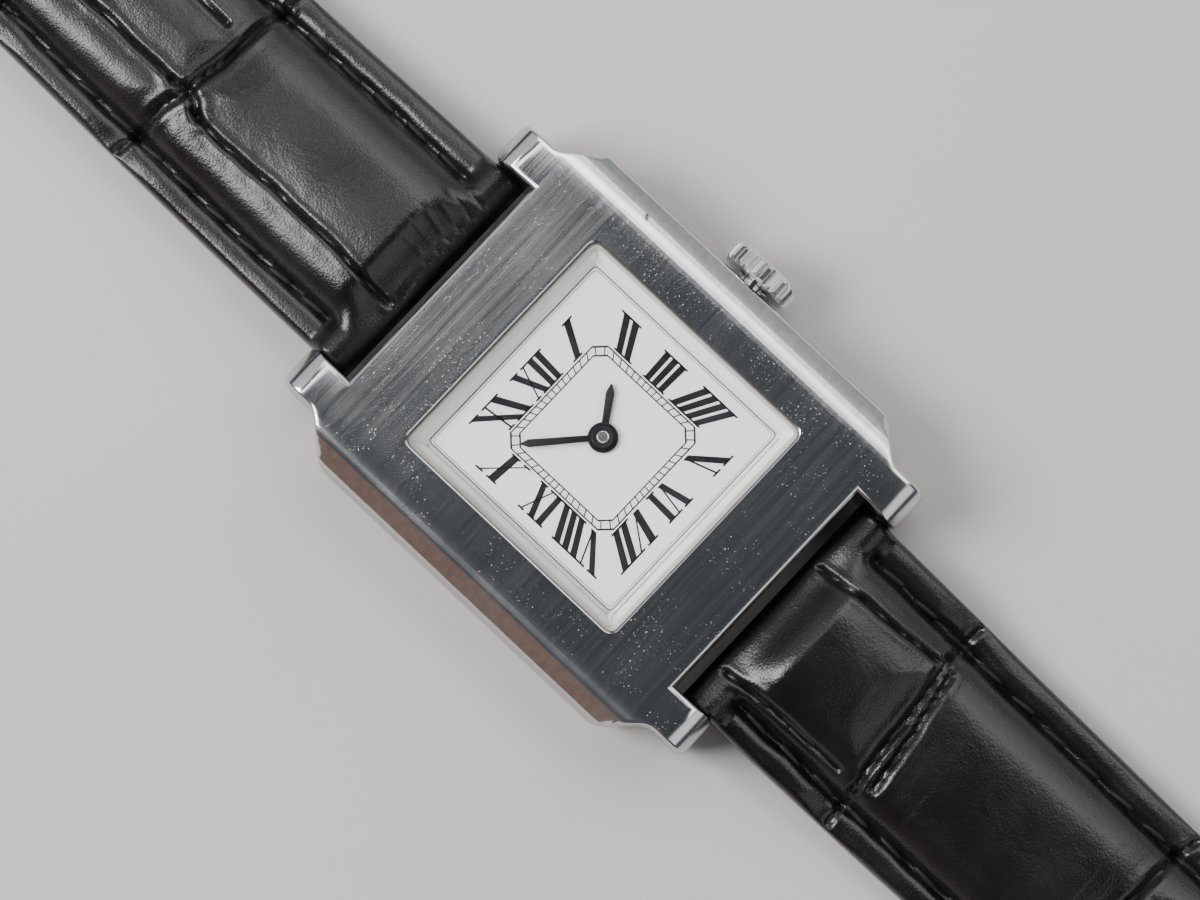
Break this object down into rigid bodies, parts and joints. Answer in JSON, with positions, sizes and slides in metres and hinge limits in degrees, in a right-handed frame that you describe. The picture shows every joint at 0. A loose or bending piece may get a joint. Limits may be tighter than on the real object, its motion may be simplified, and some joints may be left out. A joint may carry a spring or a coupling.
{
  "type": "rectangular wristwatch",
  "caption": "Rectangular steel hand-wound wristwatch with a square white dial, Roman numerals, fluted crown and a padded black leather strap with a pin buckle.",
  "frame": {"origin": "middle of the case back's outer face, which the watch lies on", "axes": "+X towards the crown, +Y along the strap towards 12 o'clock, +Z out of the dial"},
  "size_m": [0.0315, 0.2353, 0.0075],
  "materials": {
    "brushed_steel": "brushed top, polished bevels",
    "back_steel": "satin, lightly scratched",
    "polished_steel": "polished",
    "glass": "clear mineral glass",
    "nylon": "matte",
    "rubber": "matte",
    "rehaut_silver": "satin silver",
    "dial_white": "matte white lacquer",
    "hand_black": "gloss black",
    "gilt_brass": "gilt",
    "bridge_nickel": "nickel plated, brushed",
    "blued_steel": "blued",
    "spring_steel": "bright",
    "ruby": "synthetic ruby",
    "strap_leather": "glazed black leather, large square scale grain",
    "lining_leather": "matte smooth leather",
    "padding": "felt"
  },
  "bodies": {
    "case": {"case_body": "brushed_steel", "case_back": "back_steel", "back_gasket": "rubber", "crystal": "glass", "crystal_gasket": "nylon", "rehaut": "rehaut_silver", "dial": "dial_white", "crown_tube": "polished_steel", "lug_spring_bars": "polished_steel", "movement_holder": "nylon", "mainplate": "gilt_brass", "barrel_bridge": "bridge_nickel", "train_bridge": "bridge_nickel", "balance_cock": "bridge_nickel", "pallet_cock": "bridge_nickel", "bridge_screws": "blued_steel", "jewels": "ruby", "click_spring": "polished_steel"},
    "minute": {"minute_hand": "hand_black", "cannon_pinion": "polished_steel"},
    "hour": {"hour_hand": "hand_black", "hour_wheel": "gilt_brass"},
    "minute_wheel": {"minute_wheel": "gilt_brass"},
    "setting_wheel": {"setting_wheel": "polished_steel"},
    "crown_seal": {"crown_seal": "rubber"},
    "crown": {"crown": "polished_steel", "winding_stem": "polished_steel"},
    "clutch": {"clutch": "polished_steel"},
    "winding_pinion": {"winding_pinion": "polished_steel"},
    "crown_wheel": {"crown_wheel": "polished_steel"},
    "ratchet": {"ratchet_wheel": "polished_steel", "barrel_arbor": "polished_steel"},
    "barrel": {"barrel_drum": "gilt_brass", "barrel_cover": "gilt_brass", "mainspring": "spring_steel"},
    "click": {"click": "polished_steel"},
    "centre": {"centre_wheel": "gilt_brass"},
    "third": {"third_wheel": "gilt_brass"},
    "fourth": {"fourth_wheel": "gilt_brass"},
    "escape": {"escape_wheel": "polished_steel"},
    "pallet": {"pallet_fork": "polished_steel"},
    "balance": {"balance_wheel": "gilt_brass", "hairspring": "blued_steel"},
    "setting_lever": {"setting_lever": "polished_steel"},
    "buckle_half": {"buckle_half_leather": "strap_leather", "buckle_half_lining": "lining_leather", "buckle_half_padding": "padding", "fixed_keeper": "strap_leather"},
    "loose_keeper": {"loose_keeper": "strap_leather"},
    "tail_half": {"tail_half_leather": "strap_leather", "tail_half_lining": "lining_leather", "tail_half_padding": "padding"},
    "buckle": {"buckle_frame": "polished_steel", "buckle_bar": "polished_steel"},
    "tongue": {"buckle_tongue": "polished_steel"}
  },
  "joints": [
    {"name": "minute_hand_turn", "type": "hinge", "parent": "case", "child": "minute", "pos_m": [0, 0, 0.006], "axis": [0, 0, -1], "continuous": true},
    {"name": "hour_hand_turn", "type": "hinge", "parent": "case", "child": "hour", "pos_m": [0, 0, 0.006], "axis": [0, 0, -1], "continuous": true},
    {"name": "minute_wheel_turn", "type": "hinge", "parent": "case", "child": "minute_wheel", "pos_m": [0.00197, -0.00138, 0.005], "axis": [0, 0, -1], "continuous": true},
    {"name": "setting_wheel_turn", "type": "hinge", "parent": "case", "child": "setting_wheel", "pos_m": [0.00451, -0.00084, 0.005], "axis": [0, 0, -1], "continuous": true},
    {"name": "crown_pull", "type": "slide", "parent": "case", "child": "crown_seal", "axis": [1, 0, 0], "range_m": [0, 0.0007]},
    {"name": "crown_turn", "type": "hinge", "parent": "crown_seal", "child": "crown", "pos_m": [0.0158, 0, 0.0031], "axis": [1, 0, 0], "continuous": true},
    {"name": "clutch_shift", "type": "slide", "parent": "crown", "child": "clutch", "axis": [1, 0, 0], "range_m": [-0.00112, 0]},
    {"name": "winding_pinion_turn", "type": "hinge", "parent": "case", "child": "winding_pinion", "pos_m": [0.0068, 0, 0.0031], "axis": [1, 0, 0], "continuous": true},
    {"name": "crown_wheel_turn", "type": "hinge", "parent": "case", "child": "crown_wheel", "pos_m": [0.0046, 0, 0.0013], "axis": [0, 0, 1], "continuous": true},
    {"name": "ratchet_turn", "type": "hinge", "parent": "case", "child": "ratchet", "pos_m": [0.00148, 0.00457, 0.0013], "axis": [0, 0, 1], "continuous": true},
    {"name": "click_turn", "type": "hinge", "parent": "case", "child": "click", "pos_m": [-0.00179, 0.00731, 0.0013], "axis": [0, 0, 1], "range_deg": [-8, 0]},
    {"name": "fourth_turn", "type": "hinge", "parent": "case", "child": "fourth", "pos_m": [-0.00285, -0.00356, 0.0035], "axis": [0, 0, 1], "continuous": true},
    {"name": "third_turn", "type": "hinge", "parent": "case", "child": "third", "pos_m": [-0.0039, -0.00069, 0.0035], "axis": [0, 0, 1], "continuous": true},
    {"name": "centre_turn", "type": "hinge", "parent": "case", "child": "centre", "pos_m": [0, 0, 0.0035], "axis": [0, 0, 1], "continuous": true},
    {"name": "barrel_turn", "type": "hinge", "parent": "case", "child": "barrel", "pos_m": [0.00148, 0.00457, 0.0035], "axis": [0, 0, 1], "continuous": true},
    {"name": "escape_turn", "type": "hinge", "parent": "case", "child": "escape", "pos_m": [-0.00035, -0.00501, 0.0035], "axis": [0, 0, 1], "continuous": true},
    {"name": "balance_swing", "type": "hinge", "parent": "case", "child": "balance", "pos_m": [0.00445, -0.00453, 0.0035], "axis": [0, 0, 1], "range_deg": [-270, 270]},
    {"name": "pallet_swing", "type": "hinge", "parent": "case", "child": "pallet", "pos_m": [0.00201, -0.00542, 0.0035], "axis": [0, 0, 1], "range_deg": [-5, 5]},
    {"name": "setting_lever_turn", "type": "hinge", "parent": "case", "child": "setting_lever", "pos_m": [0.0083, -0.0029, 0.005], "axis": [0, 0, 1], "range_deg": [0, 12]},
    {"name": "buckle_half_swing", "type": "hinge", "parent": "case", "child": "buckle_half", "pos_m": [0, 0.0173, 0.0033], "axis": [1, 0, 0], "range_deg": [-80, 20]},
    {"name": "tail_half_swing", "type": "hinge", "parent": "case", "child": "tail_half", "pos_m": [0, -0.0173, 0.0033], "axis": [-1, 0, 0], "range_deg": [-80, 20]},
    {"name": "loose_keeper_slide", "type": "slide", "parent": "buckle_half", "child": "loose_keeper", "axis": [0, 1, 0], "range_m": [-0.015, 0.0045]},
    {"name": "buckle_swing", "type": "hinge", "parent": "buckle_half", "child": "buckle", "pos_m": [0, 0.0923, 0.0025], "axis": [1, 0, 0], "range_deg": [-45, 45]},
    {"name": "tongue_swing", "type": "hinge", "parent": "buckle", "child": "tongue", "pos_m": [0, 0.0923, 0.0025], "axis": [1, 0, 0], "range_deg": [0, 80]}
  ],
  "couplings": [
    {"joint": "hour_hand_turn", "follows": "minute_hand_turn", "ratio": 0.083333},
    {"joint": "minute_wheel_turn", "follows": "minute_hand_turn", "ratio": -0.33333},
    {"joint": "setting_wheel_turn", "follows": "minute_hand_turn", "ratio": 0.75},
    {"joint": "clutch_shift", "follows": "crown_pull", "ratio": -1.6},
    {"joint": "setting_lever_turn", "follows": "crown_pull", "rad_per_m": 298.9},
    {"joint": "winding_pinion_turn", "follows": "crown_turn", "ratio": 1},
    {"joint": "crown_wheel_turn", "follows": "crown_turn", "ratio": 0.66667},
    {"joint": "ratchet_turn", "follows": "crown_turn", "ratio": -0.44444},
    {"joint": "third_turn", "follows": "fourth_turn", "ratio": -0.13333},
    {"joint": "centre_turn", "follows": "fourth_turn", "ratio": 0.016667},
    {"joint": "barrel_turn", "follows": "fourth_turn", "ratio": -0.002381},
    {"joint": "escape_turn", "follows": "fourth_turn", "ratio": -10},
    {"joint": "pallet_swing", "follows": "balance_swing", "ratio": 0.0185}
  ]
}
